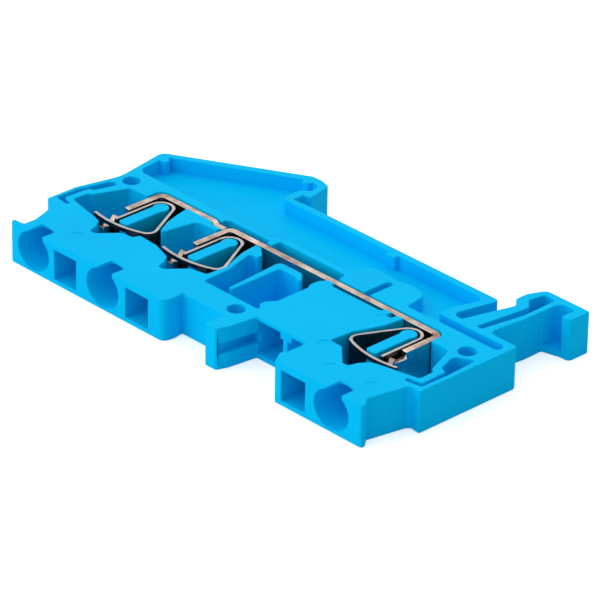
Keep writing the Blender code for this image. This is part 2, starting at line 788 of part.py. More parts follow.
def entry_wall(clamp, cutters):
    """The wall of the left wire entry where it stands out of the neck beside it."""
    middle = clamp[0] + clamp[1] * clamp[2]
    half = ENTRY_HEIGHT * 0.35
    low = (middle - ENTRY_WIDTH / 2 - ENTRY_WALL, FRONT + FLANGE_THICK / 2, ENTRY_LEVEL - half)
    high = (middle, FRONT + SHOULDER_DEPTH - 1.4, ENTRY_LEVEL + half)
    return box("entry_wall", low, high, cutters)


def front_cutters(cutters):
    """Wire entries with their top slots, tool holes, jumper cavity and the groove in the finger."""
    made = []
    over_top = THICKNESS + OVER
    for number, clamp in enumerate(CLAMPS, 1):
        made.append(entry_bore(f"entry_{number}", clamp, cutters))
        entry = clamp[0] + clamp[1] * clamp[2]
        half_slot = ENTRY_SLOT_WIDTH / 2
        slot = entry + ENTRY_SLOT_SHIFT
        low = (slot - half_slot, FRONT - OVER, ENTRY_LEVEL)
        high = (slot + half_slot, FRONT + ENTRY_SLOT_LENGTH, over_top)
        made.append(box(f"entry_slot_{number}", low, high, cutters))
        tool = clamp[0] + clamp[1] * clamp[3]
        roof = THICKNESS - TOOL_HOLE_TOP
        low = (tool - TOOL_HOLE / 2, FRONT - OVER, roof - TOOL_HOLE)
        high = (tool + TOOL_HOLE / 2, CLAMP_LINE - 3.6, roof)
        made.append(box(f"tool_hole_{number}", low, high, cutters))
    finger_right = FINGER_LEFT + FINGER_WIDTH
    low = (finger_right - FINGER_GROOVE_DEPTH, FRONT + 0.25, FINGER_GROOVE_LOW)
    high = (finger_right + OVER, JUMPER_BACK + 0.5, FINGER_GROOVE_HIGH)
    made.append(box("finger_groove", low, high, cutters))
    lip_left = RIGHT_GROUP_START - 3.9
    lip_right = RIGHT_GROUP_START - 2.1
    rib_left = lip_left + 0.45
    start = finger_right + 0.55
    stop = RIGHT_GROUP_START - 0.35
    spaces = (
        ("jumper_left", start, lip_left, JUMPER_CAVITY, JUMPER_ROOF),
        ("jumper_right", lip_right, stop, JUMPER_CAVITY / 2, JUMPER_ROOF),
        ("lip_left", start, rib_left, JUMPER_CAVITY / 2, JUMPER_LIP),
        ("lip_right", rib_left + JUMPER_RIB, stop, JUMPER_CAVITY / 2, JUMPER_LIP),
    )
    for name, left, right, depth, roof in spaces:
        low = (left, JUMPER_BACK - OVER, FLOOR)
        high = (right, JUMPER_BACK + depth, THICKNESS - roof)
        made.append(box(name, low, high, cutters))
    return made


def plan_cutters(cutters):
    """Everything sunk into the open side: chambers, channels, pockets, recess, groove and holes."""
    top = THICKNESS + OVER
    second_leg = CLAMPS[1][0]
    channel = BAR_THICK / 2 + BAR_CLEARANCE
    in_bar = BAR_BACK - BAR_THICK / 2
    pocket_a = [(second_leg - 2.1, in_bar), (second_leg - 2.1, BAR_BACK + 0.3)]
    pocket_a.append((second_leg - 1.5, BAR_BACK + 0.75, 0.3))
    pocket_a += [(second_leg + 5.1, BAR_BACK + 0.75, 0.3), (second_leg + 5.1, in_bar)]
    pad_left = FINGER_LEFT + 1.75
    pocket_b = [(second_leg + 6.0, in_bar), (second_leg + 6.0, BAR_BACK + 1.4, 0.3)]
    pocket_b += [(pad_left + 0.3, BAR_BACK + 1.4, 0.3), (pad_left + 0.7, in_bar)]
    notch_left = RIGHT_GROUP_START + 1.55
    bar_notch = [(notch_left, in_bar), (notch_left, BAR_BACK - BAR_THICK - 1.1, 0.2)]
    bar_notch += [(notch_left + 0.85, BAR_BACK - BAR_THICK - 1.1, 0.2), (notch_left + 0.85, in_bar)]
    groove_left = FOOT_FACE - 5.0
    groove_front = RECESS_FRONT + 0.15
    groove = [(groove_left, groove_front), (RIGHT - 0.95, groove_front, 0.6)]
    groove += [(RIGHT - 0.95, groove_front + GROOVE_WIDTH, 0.6), (groove_left, groove_front + GROOVE_WIDTH)]
    holes = (
        (LEFT + 3.15, CLAMP_LINE + 5.55),
        (FINGER_LEFT - 0.15, FRONT + 4.9),
        (RIGHT - 3.0, CLAMP_LINE + 5.55),
    )
    deep = (
        ("left_chambers", left_chambers()),
        ("right_chamber", right_chamber()),
        ("middle_chamber", middle_chamber()),
        ("short_bar_channel", [strip_outline(short_bar_line(), channel)]),
        ("long_bar_channel", [strip_outline(long_bar_line(), channel)]),
        ("bar_gap", [bar_gap()]),
        ("pocket_a", [rounded(pocket_a)]),
        ("pocket_b", [rounded(pocket_b)]),
        ("bar_notch", [rounded(bar_notch)]),
        ("pad_slit", [pad_slit()]),
        ("left_end_slot", [left_end_slot()]),
        ("right_end_slot", [right_end_slot()]),
    )
    made = [plate(name, loops, FLOOR, top, cutters) for name, loops in deep]
    made.append(plate("back_recess", [back_recess()], THICKNESS - RECESS_DEPTH, top, cutters))
    made.append(plate("release_groove", [rounded(groove)], THICKNESS - RECESS_DEPTH, top, cutters))
    for number, clamp in enumerate(CLAMPS, 1):
        made.append(plate(f"post_top_{number}", [post_top(clamp)], THICKNESS - POST_DROP, top, cutters))
    for number, centre in enumerate(holes, 1):
        loops = [disc(centre, LOCATING_HOLE)]
        made.append(plate(f"locating_hole_{number}", loops, THICKNESS - LOCATING_DEPTH, top, cutters))
    return made


def make_housing(parts, cutters, root):
    housing = plate("housing", [housing_outline()], 0, THICKNESS, parts)
    wall = entry_wall(CLAMPS[0], cutters)
    wall.parent = root
    cut(housing, wall, "UNION")
    for cutter in plan_cutters(cutters) + front_cutters(cutters):
        cutter.parent = root
        cut(housing, cutter)
    finish(housing, BLUE, 0.3, 0.0, root)


def make_foot(parts, cutters, root):
    """The sprung rail foot, which bends at the roots of its beams."""
    joint = pivot("foot_flexure", (FOOT_FACE + 2.3, ROOT), root, parts)
    foot = plate("rail_foot", [foot_outline()], 0, THICKNESS, parts)
    pocket = plate("foot_pocket", [foot_pocket_outline()], FOOT_WEB, THICKNESS + OVER, cutters)
    pocket.parent = root
    cut(foot, pocket)
    hang(foot, joint)
    finish(foot, BLUE, 0.3, 0.0, joint)


def make_bars(parts, cutters, root):
    bars = (
        ("short_current_bar", short_bar_line(), (1,)),
        ("long_current_bar", long_bar_line(), (2, 3)),
    )
    for name, line, numbers in bars:
        bar = plate(name, [strip_outline(line, BAR_THICK / 2)], BAR_BOTTOM, BAR_TOP, parts)
        for number in numbers:
            for cutter in tongue_cutters(CLAMPS[number - 1], number, cutters):
                cutter.parent = root
                cut(bar, cutter)
        finish(bar, COPPER, 0.25, 1.0, root)


def make_spring(clamp, number, parts, cutters, root):
    """One clamp spring: the limb stays on the bar, and the clamp turns about the crown's centre."""
    leg, side = clamp[:2]
    limb_loop = at_clamp(clamp, strip_outline(limb_plan(), STRIP_THICK / 2))
    limb = plate(f"spring_limb_{number}", [limb_loop], STRIP_BOTTOM, STRIP_TOP, parts)
    finish(limb, STEEL, 0.3, 1.0, root)
    crown = at_clamp(clamp, [(CROWN_CENTRE, CROWN_LEVEL)])[0]
    joint = pivot(f"spring_crown_{number}", crown, root, parts)
    clamp_loop = at_clamp(clamp, strip_outline(clamp_plan(), STRIP_THICK / 2))
    moving = plate(f"spring_clamp_{number}", [clamp_loop], STRIP_BOTTOM, STRIP_TOP, parts)
    near = leg - side * (BAR_THICK + WINDOW_START)
    far = near + side * WINDOW_LENGTH
    window_low = min(point[1] for point in clamp_plan()) + CLAMP_LINE - STRIP_THICK
    low = (min(near, far), window_low, STRIP_BOTTOM + WINDOW_RAIL)
    high = (max(near, far), window_low + 3 * STRIP_THICK, STRIP_TOP - WINDOW_RAIL)
    window = box(f"window_{number}", low, high, cutters)
    window.parent = root
    cut(moving, window)
    hang(moving, joint)
    finish(moving, STEEL, 0.3, 1.0, joint)


def main():
    clear_scene()
    parts = new_collection("terminal_block")
    cutters = new_collection("cutters")
    root = bpy.data.objects.new("rail_datum", None)
    root.location = (0, (SEAT_TO_FRONT - HOOK_RISE) / 2 * MM, 0)
    parts.objects.link(root)
    make_housing(parts, cutters, root)
    make_foot(parts, cutters, root)
    make_bars(parts, cutters, root)
    for number, clamp in enumerate(CLAMPS, 1):
        make_spring(clamp, number, parts, cutters, root)


main()
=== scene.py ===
# %% [markdown]
# # A blue terminal block for a mounting rail
# The real part is a thin moulded housing that is open on one side. Two bent current bars and three
# clamp springs lie in it, and a sprung foot holds it on a rail. The CAD model gives every size and
# place, so this lesson starts from it and adds what a plain solid lacks: soft moulded edges, springs
# of one unbroken strip, and finishes that look like plastic, copper and steel.

# %% Load the CAD frame
import math

import bmesh
import bpy
from mathutils import Matrix, Vector


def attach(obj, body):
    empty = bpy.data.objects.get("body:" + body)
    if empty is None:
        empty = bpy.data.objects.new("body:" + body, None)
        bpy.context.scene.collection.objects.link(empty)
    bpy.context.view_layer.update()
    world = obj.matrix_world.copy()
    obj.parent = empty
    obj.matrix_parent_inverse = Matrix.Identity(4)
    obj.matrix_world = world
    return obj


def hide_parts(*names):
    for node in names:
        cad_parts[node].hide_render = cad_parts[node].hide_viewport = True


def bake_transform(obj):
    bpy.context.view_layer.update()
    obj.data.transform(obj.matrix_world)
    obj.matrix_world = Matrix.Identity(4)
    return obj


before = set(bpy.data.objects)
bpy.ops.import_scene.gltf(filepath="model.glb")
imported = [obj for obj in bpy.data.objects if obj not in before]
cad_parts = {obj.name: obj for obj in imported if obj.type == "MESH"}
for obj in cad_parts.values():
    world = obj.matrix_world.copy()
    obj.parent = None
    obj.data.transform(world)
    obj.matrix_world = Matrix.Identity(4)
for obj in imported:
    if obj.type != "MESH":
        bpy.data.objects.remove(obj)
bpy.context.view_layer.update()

# %% [markdown]
# The drawings of this part measure in millimetres from the seat that lies on the rail, and from the
# middle of the body. Blender works in metres, and the frame's origin is under the middle of the box.
# One small helper turns a drawing point into a frame point, so that the rest can use drawing sizes.

# %% Drawing sizes to frame points
MM = 0.001
SEAT = 11.25
THICKNESS = 5.2


def at(x, y, z):
    """A point of the drawing, in millimetres from the rail seat, as a point of the frame."""
    return Vector((x, y + SEAT, z)) * MM


print("The rail seat lies at y =", at(0, 0, 0).y)

# %% [markdown]
# ## The camera
# A product picture of such a small part is taken with a long lens from some way off, so that its
# edges stay nearly parallel. The camera is turned about its own axis last, because the picture is
# tilted by about one degree.

# %% Camera
AZIMUTH = math.radians(46.16)
ELEVATION = math.radians(28.25)
TILT = math.radians(0.99)
DISTANCE = 0.5236
AIM = (6.928, -16.56)
SENSOR_WIDTH = 36
FOCAL_LENGTH = 282.7

turn = Matrix.Rotation(AZIMUTH, 4, "Z")
turn = turn @ Matrix.Rotation(math.radians(90) - ELEVATION, 4, "X")
turn = turn @ Matrix.Rotation(TILT, 4, "Z")
aim = at(*AIM, THICKNESS)
lens = bpy.data.cameras.new("camera")
lens.sensor_width = SENSOR_WIDTH
lens.lens = FOCAL_LENGTH
camera = bpy.data.objects.new("camera", lens)
camera.matrix_world = Matrix.Translation(aim + turn.col[2].xyz * DISTANCE) @ turn
bpy.context.scene.collection.objects.link(camera)
bpy.context.scene.camera = camera
print("Camera at", [round(value, 4) for value in camera.matrix_world.translation])

# %% [markdown]
# ## Light and floor
# Such a picture is taken in a light tent: white cloth all round, so that every open face is bright
# and only the pockets and the undersides fall dark. The world itself is the tent here. It is dimmer
# towards +X, so that the end walls, which face that way, stay darker than the front. The Light Path
# node shows the camera and the shiny metal a pure white, while the light that falls on the part
# stays at a plain level.

# %% World
TENT = 1.1
DIM_END = 0.25

world = bpy.data.worlds.new("light_tent")
bpy.context.scene.world = world
world.use_nodes = True
nodes = world.node_tree.nodes
links = world.node_tree.links
nodes.clear()
path = nodes.new("ShaderNodeLightPath")
seen = nodes.new("ShaderNodeMath")
seen.operation = "MAXIMUM"
links.new(path.outputs["Is Camera Ray"], seen.inputs[0])
links.new(path.outputs["Is Glossy Ray"], seen.inputs[1])
seen_through = nodes.new("ShaderNodeMath")
seen_through.operation = "MAXIMUM"
links.new(seen.outputs[0], seen_through.inputs[0])
links.new(path.outputs["Is Transmission Ray"], seen_through.inputs[1])
direction = nodes.new("ShaderNodeTexCoord")
axes = nodes.new("ShaderNodeSeparateXYZ")
links.new(direction.outputs["Generated"], axes.inputs[0])
fall = nodes.new("ShaderNodeMapRange")
fall.inputs["From Min"].default_value = 0.0
fall.inputs["From Max"].default_value = 1.0
fall.inputs["To Min"].default_value = TENT
fall.inputs["To Max"].default_value = DIM_END
links.new(axes.outputs["X"], fall.inputs["Value"])
soft = nodes.new("ShaderNodeBackground")
soft.inputs["Color"].default_value = (1, 1, 1, 1)
links.new(fall.outputs["Result"], soft.inputs["Strength"])
white = nodes.new("ShaderNodeBackground")
white.inputs["Color"].default_value = (1, 1, 1, 1)
white.inputs["Strength"].default_value = 1.0
choose = nodes.new("ShaderNodeMixShader")
links.new(seen_through.outputs[0], choose.inputs["Fac"])
links.new(soft.outputs[0], choose.inputs[1])
links.new(white.outputs[0], choose.inputs[2])
output = nodes.new("ShaderNodeOutputWorld")
links.new(choose.outputs[0], output.inputs["Surface"])
bpy.context.scene.view_settings.view_transform = "Standard"
print("Tent light:", TENT, "falling to", DIM_END, "at the right end")

# %% [markdown]
# One wide, weak lamp stands in front of the wire entries. It lifts the front face a little above the
# end walls, and its size keeps its shadows soft.

# %% Front lamp
LAMP_PLACE = (-0.25, -0.60, 0.12)
LAMP_SIZE = 0.50
LAMP_POWER = 0.85

lamp_data = bpy.data.lights.new("front_lamp", "AREA")
lamp_data.shape = "DISK"
lamp_data.size = LAMP_SIZE
lamp_data.energy = LAMP_POWER
lamp = bpy.data.objects.new("front_lamp", lamp_data)
lamp.location = LAMP_PLACE
lamp.rotation_mode = "QUATERNION"
lamp.rotation_quaternion = (-Vector(LAMP_PLACE)).to_track_quat("-Z", "Y")
bpy.context.scene.collection.objects.link(lamp)
print("Front lamp of", LAMP_POWER, "W")

# %% [markdown]
# The part lies on white paper. Paper alone would look grey in this light, so it glows a little, but
# only for the camera: the glow doesn't light the part from below.

# %% Floor
FLOOR_HALF = 3.0
PAPER = 0.82
PAPER_ROUGHNESS = 0.9
GLOW = 0.50

work = bmesh.new()
bmesh.ops.create_grid(work, x_segments=1, y_segments=1, size=FLOOR_HALF)
mesh = bpy.data.meshes.new("floor")
work.to_mesh(mesh)
work.free()
floor = bpy.data.objects.new("floor", mesh)
bpy.context.scene.collection.objects.link(floor)
paper = bpy.data.materials.new("white_paper")
paper.use_nodes = True
nodes = paper.node_tree.nodes
links = paper.node_tree.links
matt = nodes["Principled BSDF"]
matt.inputs["Base Color"].default_value = (PAPER, PAPER, PAPER, 1)
matt.inputs["Roughness"].default_value = PAPER_ROUGHNESS
matt.inputs["Specular IOR Level"].default_value = 0.0
path = nodes.new("ShaderNodeLightPath")
links.new(path.outputs["Is Camera Ray"], matt.inputs["Emission Strength"])
matt.inputs["Emission Color"].default_value = (GLOW, GLOW, GLOW, 1)
mesh.materials.append(paper)
print("Floor of", 2 * FLOOR_HALF, "m")

# %% [markdown]
# ## Finishes
# Three finishes cover the whole part. A pattern that is laid on the object's own coordinates stays
# on the piece when it moves, and it needs no unwrapping. A few helpers build the usual chains: a
# noise, a change of range, two tones mixed by a pattern, and fine bumps.

# %% Helpers for finishes
def start_material(name):
    """A new material with its shader, and the coordinates of the piece that wears it."""
    made = bpy.data.materials.new(name)
    made.use_nodes = True
    tree = made.node_tree
    shader = tree.nodes["Principled BSDF"]
    coords = tree.nodes.new("ShaderNodeTexCoord")
    return made, tree, shader, coords


def noise(tree, coords, scale, detail):
    """A noise pattern whose size is set by how many patches fit in a metre."""
    made = tree.nodes.new("ShaderNodeTexNoise")
    made.inputs["Scale"].default_value = scale
    made.inputs["Detail"].default_value = detail
    tree.links.new(coords.outputs["Object"], made.inputs["Vector"])
    return made.outputs["Fac"]


def spread(tree, value, low, high, dark=0.3, light=0.7):
    """Maps the part of a pattern between dark and light to a range of numbers."""
    made = tree.nodes.new("ShaderNodeMapRange")
    made.inputs["From Min"].default_value = dark
    made.inputs["From Max"].default_value = light
    made.inputs["To Min"].default_value = low
    made.inputs["To Max"].default_value = high
    tree.links.new(value, made.inputs["Value"])
    return made.outputs["Result"]


def two_tone(tree, value, first, second):
    """A colour that goes from one tone to another."""
    made = tree.nodes.new("ShaderNodeMix")
    made.data_type = "RGBA"
    for name, tone in (("A", first), ("B", second)):
        if isinstance(tone, tuple):
            made.inputs[name].default_value = (*tone, 1)
        else:
            tree.links.new(tone, made.inputs[name])
    tree.links.new(value, made.inputs["Factor"])
    return made.outputs["Result"]


def grain(tree, shader, value, strength, depth):
    """Tiny hills and hollows on the surface."""
    made = tree.nodes.new("ShaderNodeBump")
    made.inputs["Strength"].default_value = strength
    made.inputs["Distance"].default_value = depth
    tree.links.new(value, made.inputs["Height"])
    tree.links.new(made.outputs["Normal"], shader.inputs["Normal"])


print("Helpers ready")

# %% [markdown]
# The housing is an insulating plastic that is coloured right through. Its surface is satin, so it
# shows its own strong blue and hardly any reflection. The tone wanders a little, as a moulding's
# does where the melt cooled at different speeds, and a very fine grain breaks up the sheen.

# %% Blue plastic
blue, tree, shader, coords = start_material("moulded_blue")
clouds = noise(tree, coords, 140, 3)
tone = two_tone(tree, spread(tree, clouds, 0, 1), (0.0, 0.515, 0.945), (0.0, 0.55, 0.975))
tree.links.new(tone, shader.inputs["Base Color"])
fine = noise(tree, coords, 5200, 2)
tree.links.new(spread(tree, fine, 0.42, 0.52), shader.inputs["Roughness"])
grain(tree, shader, fine, 0.12, 0.00002)
shader.inputs["Specular IOR Level"].default_value = 0.015
print("Finish", blue.name)

# %% [markdown]
# The current bars are copper strip that is tinned, cut and folded. The wide faces are bright tin, in
# which the blue walls are mirrored, and the cut edges show bare copper that has browned in patches.
# Every strip in this part stands on edge, so the height of the surface normal tells which kind of
# face it is: it is 1 on the cut edges and 0 on the wide faces.

# %% Copper
def cut_edges(tree, coords):
    """1 on the faces that look up or down, where the strip was cut, and 0 on its wide faces."""
    parted = tree.nodes.new("ShaderNodeSeparateXYZ")
    tree.links.new(coords.outputs["Normal"], parted.inputs[0])
    upright = tree.nodes.new("ShaderNodeMath")
    upright.operation = "ABSOLUTE"
    tree.links.new(parted.outputs["Z"], upright.inputs[0])
    return spread(tree, upright.outputs[0], 0, 1, dark=0.35, light=0.85)


copper, tree, shader, coords = start_material("rolled_copper")
patches = noise(tree, coords, 520, 4)
browned = spread(tree, patches, 0, 1)
bare = two_tone(tree, browned, (0.30, 0.18, 0.12), (0.84, 0.66, 0.57))
tinned = two_tone(tree, browned, (0.50, 0.46, 0.43), (0.66, 0.63, 0.61))
tree.links.new(two_tone(tree, cut_edges(tree, coords), tinned, bare), shader.inputs["Base Color"])
shader.inputs["Metallic"].default_value = 1.0
tree.links.new(spread(tree, patches, 0.30, 0.16), shader.inputs["Roughness"])
grain(tree, shader, noise(tree, coords, 4000, 3), 0.15, 0.00002)
print("Finish", copper.name)

# %% [markdown]
# Spring strip is hardened before it is cut and bent, and its cut edges are bright steel. Its wide
# faces carry painted shade: they are painted nearly black, for the dark chamber that they mirror.
# The same helper tells the two kinds of faces apart.

# %% Spring steel
steel, tree, shader, coords = start_material("spring_strip")
patches = noise(tree, coords, 900, 4)
streaks = spread(tree, patches, 0, 1)
# Wide faces: painted shade, nearly black, for the dark chamber they mirror. Cut edges: the steel's own
# colour.
painted_shade = two_tone(tree, streaks, (0.045, 0.045, 0.05), (0.10, 0.095, 0.09))
bright = two_tone(tree, streaks, (0.42, 0.39, 0.37), (0.62, 0.58, 0.55))
tree.links.new(two_tone(tree, cut_edges(tree, coords), painted_shade, bright), shader.inputs["Base Color"])
shader.inputs["Metallic"].default_value = 1.0
tree.links.new(spread(tree, patches, 0.22, 0.36), shader.inputs["Roughness"])
print("Finish", steel.name)

# %% [markdown]
# ## Moulding
# The housing and its foot come out of the mould as one piece: two slender beams carry the foot, and
# they bend when it is pulled off the rail. The CAD model parts them at the roots, because a joint
# needs two bodies. Here both meshes are joined again, all proud edges get the small radius that a
# mould leaves, and the foot is parted once more on a plane through its beams, after the edges are
# soft. So the seam closes without a gap.

# %% Mesh helpers
FLAT = 0.999
WELD = 0.000001
PROUD_ANGLE = math.radians(40)
SHARP_ANGLE = math.radians(38)


def merged_copy(node):
    """A copy of a CAD node's mesh with its loose triangles joined."""
    work = bmesh.new()
    work.from_mesh(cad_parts[node].data)
    bmesh.ops.remove_doubles(work, verts=work.verts, dist=WELD)
    return work


def flatten(work):
    """Joins the triangles of each flat area into one face."""
    bmesh.ops.dissolve_limit(work, angle_limit=math.radians(1), verts=work.verts, edges=work.edges)
    bmesh.ops.dissolve_degenerate(work, dist=0.00002, edges=work.edges)


def soften(work, radius, segments, leave=()):
    """Rounds the edges that stand proud, as a mould or a tumbler does, apart from some."""
    proud = [edge for edge in work.edges if edge.calc_face_angle_signed(0) > PROUD_ANGLE]
    proud = [edge for edge in proud if edge not in leave]
    bmesh.ops.bevel(
        work,
        geom=proud,
        offset=radius,
        offset_type="OFFSET",
        affect="EDGES",
        segments=segments,
        profile=0.5,
        material=-1,
        loop_slide=False,
    )
    return len(proud)


def as_object(work, name):
    """Turns a bmesh into an object of the scene."""
    mesh = bpy.data.meshes.new(name)
    work.to_mesh(mesh)
    work.free()
    made = bpy.data.objects.new(name, mesh)
    bpy.context.scene.collection.objects.link(made)
    return made


def dress(piece, material):
    """Gives a piece its finish, and shading that is smooth on bends and flat on flats."""
    piece.data.materials.clear()
    piece.data.materials.append(material)
    piece.data.shade_smooth()
    piece.data.set_sharp_from_angle(angle=SHARP_ANGLE)
    for face in piece.data.polygons:
        face.use_smooth = abs(face.normal.z) < FLAT
    weigh = piece.modifiers.new("even_shading", "WEIGHTED_NORMAL")
    weigh.keep_sharp = True


def combine(first, second, operation):
    """Adds or cuts one closed mesh with another."""
    base = as_object(first, "base")
    other = as_object(second, "other")
    step = base.modifiers.new("step", "BOOLEAN")
    step.operation = operation
    step.object = other
    bpy.context.view_layer.update()
    made = bmesh.new()
    made.from_object(base, bpy.context.evaluated_depsgraph_get())
    for used in (base, other):
        shape = used.data
        bpy.data.objects.remove(used)
        bpy.data.meshes.remove(shape)
    return made


print("Mesh helpers ready")

# %% [markdown]
# The ends of the foot's beams are drawn out into the housing before the two are joined, so that
# nothing is left of the gap between them.

# %% Housing and foot in one
OVERLAP = 0.6
END_BAND = 0.0001

foot = merged_copy("rail_foot")
lowest = min(vert.co.y for vert in foot.verts)
ends = [vert for vert in foot.verts if vert.co.y < lowest + END_BAND]
bmesh.ops.translate(foot, verts=ends, vec=(0, -OVERLAP * MM, 0))
moulding = combine(merged_copy("housing"), foot, "UNION")
bmesh.ops.remove_doubles(moulding, verts=moulding.verts, dist=WELD)
print("Housing and foot joined:", len(moulding.faces), "faces")

# %% [markdown]
# Pins push the moulding out of its mould and leave faint round prints on the broad walls. Each is a
# shallow dish, cut by a flat disc. The prints are cut before the edges are softened, while the mesh
# is still plain, and their rims are left crisp.

# %% Ejector prints
PRINT_RADIUS = 0.75
PRINT_DEPTH = 0.04
PRINTS = ((-21.3, -24.7), (15.9, -21.5), (20.2, -24.5), (26.2, -24.0), (15.9, -12.4))

pins = bmesh.new()
for x, y in PRINTS:
    bmesh.ops.create_cone(
        pins,
        cap_ends=True,
        segments=40,
        radius1=PRINT_RADIUS * MM,
        radius2=PRINT_RADIUS * MM,
        depth=2 * PRINT_DEPTH * MM,
        matrix=Matrix.Translation(at(x, y, THICKNESS)),
    )
bmesh.ops.recalc_face_normals(pins, faces=pins.faces)
moulding = combine(moulding, pins, "DIFFERENCE")
print("Prints of", len(PRINTS), "pins,", len(moulding.faces), "faces")

# %% [markdown]
# A mould has no knife edges. Each proud edge gets a small radius, which is what catches the light
# along the rims. The flat areas are joined into single faces first, so that the bevel has room.

# %% Soft edges
MOULD_RADIUS = 0.1


def on_print(edge):
    """True for an edge of an ejector print."""
    middle = (edge.verts[0].co + edge.verts[1].co) / 2
    near = min((middle - at(x, y, THICKNESS)).length for x, y in PRINTS)
    return near < (PRINT_RADIUS + PRINT_DEPTH) * MM


bmesh.ops.remove_doubles(moulding, verts=moulding.verts, dist=WELD)
flatten(moulding)
print_rims = {edge for edge in moulding.edges if on_print(edge)}
count = soften(moulding, MOULD_RADIUS * MM, 3, leave=print_rims)
print("Moulding:", count, "edges softened,", len(moulding.faces), "faces")

# %% [markdown]
# The wide flat faces wind round every chamber, and a face of some hundred corners is easily torn
# when it is drawn. So the flat faces of each level are taken out and filled anew between their rims,
# which gives plain triangles.

# %% Flat levels filled anew
SAME_LEVEL = 0.000002
MANY_CORNERS = 60


def fill_level(work, level):
    """Fills a flat level anew between its rims."""
    level_faces = [face for face in work.faces if abs(face.normal.z) > FLAT]
    level_faces = [face for face in level_faces if abs(face.verts[0].co.z - level) < SAME_LEVEL]
    inside = set(level_faces)
    rims = {edge for face in level_faces for edge in face.edges}
    rims = [edge for edge in rims if not inside.issuperset(edge.link_faces)]
    bmesh.ops.delete(work, geom=level_faces, context="FACES")
    bmesh.ops.triangle_fill(work, use_beauty=True, edges=rims, normal=(0, 0, 1))


moulding.normal_update()
wide = [face for face in moulding.faces if abs(face.normal.z) > FLAT]
wide = [face for face in wide if len(face.verts) > MANY_CORNERS]
for level in sorted({round(face.verts[0].co.z, 6) for face in wide}):
    fill_level(moulding, level)
    moulding.normal_update()
    print("Level", level, "filled, open edges:", sum(edge.is_boundary for edge in moulding.edges))
bmesh.ops.recalc_face_normals(moulding, faces=moulding.faces)

# %% [markdown]
# To part the foot, the faces that the plane passes through are cut, and the cut's edges are split.
# Then the foot is everything that still hangs together with its outer corner, and the open rims of
# both parts are filled.

# %% Part the foot from the housing
ROOT = -6.15
SEAM = ROOT + 0.15
BEAMS_FROM = 21.2

seam = at(BEAMS_FROM, SEAM, 0)


def crosses(face):
    """True for a face that reaches into the foot's beams and lies across the seam."""
    heights = [vert.co.y for vert in face.verts]
    reach = max(vert.co.x for vert in face.verts)
    return reach > seam.x and min(heights) < seam.y < max(heights)


touched = [face for face in moulding.faces if crosses(face)]
edges = list({edge for face in touched for edge in face.edges})
verts = list({vert for face in touched for vert in face.verts})
cut = bmesh.ops.bisect_plane(moulding, geom=touched + edges + verts, plane_co=seam, plane_no=(0, 1, 0))
lips = [item for item in cut["geom_cut"] if isinstance(item, bmesh.types.BMEdge)]
lips = [edge for edge in lips if min(vert.co.x for vert in edge.verts) > seam.x]
bmesh.ops.split_edges(moulding, edges=lips)
corner = max(moulding.verts, key=lambda vert: vert.co.x + vert.co.y)
found = {corner}
waiting = [corner]
while waiting:
    here = waiting.pop()
    fresh = {edge.other_vert(here) for edge in here.link_edges} - found
    found |= fresh
    waiting += fresh
moulding.verts.index_update()
foot_numbers = {vert.index for vert in found}
foot_shape = moulding.copy()
others = [vert for vert in foot_shape.verts if vert.index not in foot_numbers]
bmesh.ops.delete(foot_shape, geom=others, context="VERTS")
bmesh.ops.delete(moulding, geom=list(found), context="VERTS")
for work in (moulding, foot_shape):
    open_rims = [edge for edge in work.edges if edge.is_boundary]
    bmesh.ops.holes_fill(work, edges=open_rims, sides=0)
    print("Part of", len(work.faces), "faces, open edges:", sum(edge.is_boundary for edge in work.edges))

# %% [markdown]
# The housing's piece rides on its body. The foot's piece is placed in the frame, with its place baked
# into its mesh.

housing_piece = as_object(moulding, "housing_moulding")
dress(housing_piece, blue)
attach(housing_piece, "housing")
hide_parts("housing")
foot_piece = as_object(foot_shape, "foot_moulding")
dress(foot_piece, blue)
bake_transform(foot_piece)
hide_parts("rail_foot")
print("Pieces:", housing_piece.name, foot_piece.name)

# %% [markdown]
# ## Current bars
# Each bar is a strip that stands on edge in the housing and is folded to lead past the clamps. The
# fold lines come from the CAD model. Blanking and tumbling take the sharpness off its edges, so here
# too a small bevel is enough to catch the light along them.

# %% Bars
BAR_RADIUS = 0.12

for node in ("short_current_bar", "long_current_bar"):
    work = merged_copy(node)
    flatten(work)
    count = soften(work, BAR_RADIUS * MM, 3)
    piece = as_object(work, node.replace("current", "copper"))
    dress(piece, copper)
    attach(piece, "housing")
    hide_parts(node)
    print(piece.name, "with", count, "softened edges")

# %% [markdown]
# ## Clamp springs
# A cage clamp is one strip of spring steel: a limb that leans on the housing, a round crown, a long
# slope, a tight nose and a leg with a window, through which the bar and the wire pass. The CAD model
# parts it at the crown for the joint. Here it is drawn as it is made, by running a strip on and
# bending it, so that spin and extrude do the work. The leg's half turns as one with its clamp, and
# both halves share the same end face.

# %% Spring strip
STRIP = 0.4
STRIP_LOW = 0.75
STRIP_HIGH = 4.95
LIMB = (0.53, -1.9)
LIMB_LENGTH = 5.6
CROWN = (2.03, 3.7)
CROWN_TURN = 152.6
SLOPE_LENGTH = 5.3
NOSE_RADIUS = 1.15
NOSE_TURN = 96.5
LEG_RADIUS = 13.0
LEG_TURN = 34.2


def strip_start(x, y, heading):
    """A bmesh that holds the strip's end, standing across its heading."""
    work = bmesh.new()
    bmesh.ops.create_grid(work, x_segments=1, y_segments=1, size=0.5)
    shape = Matrix.Diagonal((STRIP, STRIP_HIGH - STRIP_LOW, 1, 1))
    stand = Matrix.Rotation(math.radians(90), 4, "X")
    turned = Matrix.Rotation(math.radians(heading - 90), 4, "Z")
    place = Matrix.Translation((x, y, (STRIP_LOW + STRIP_HIGH) / 2))
    bmesh.ops.transform(work, matrix=place @ turned @ stand @ shape, verts=work.verts)
    return work, list(work.faces)


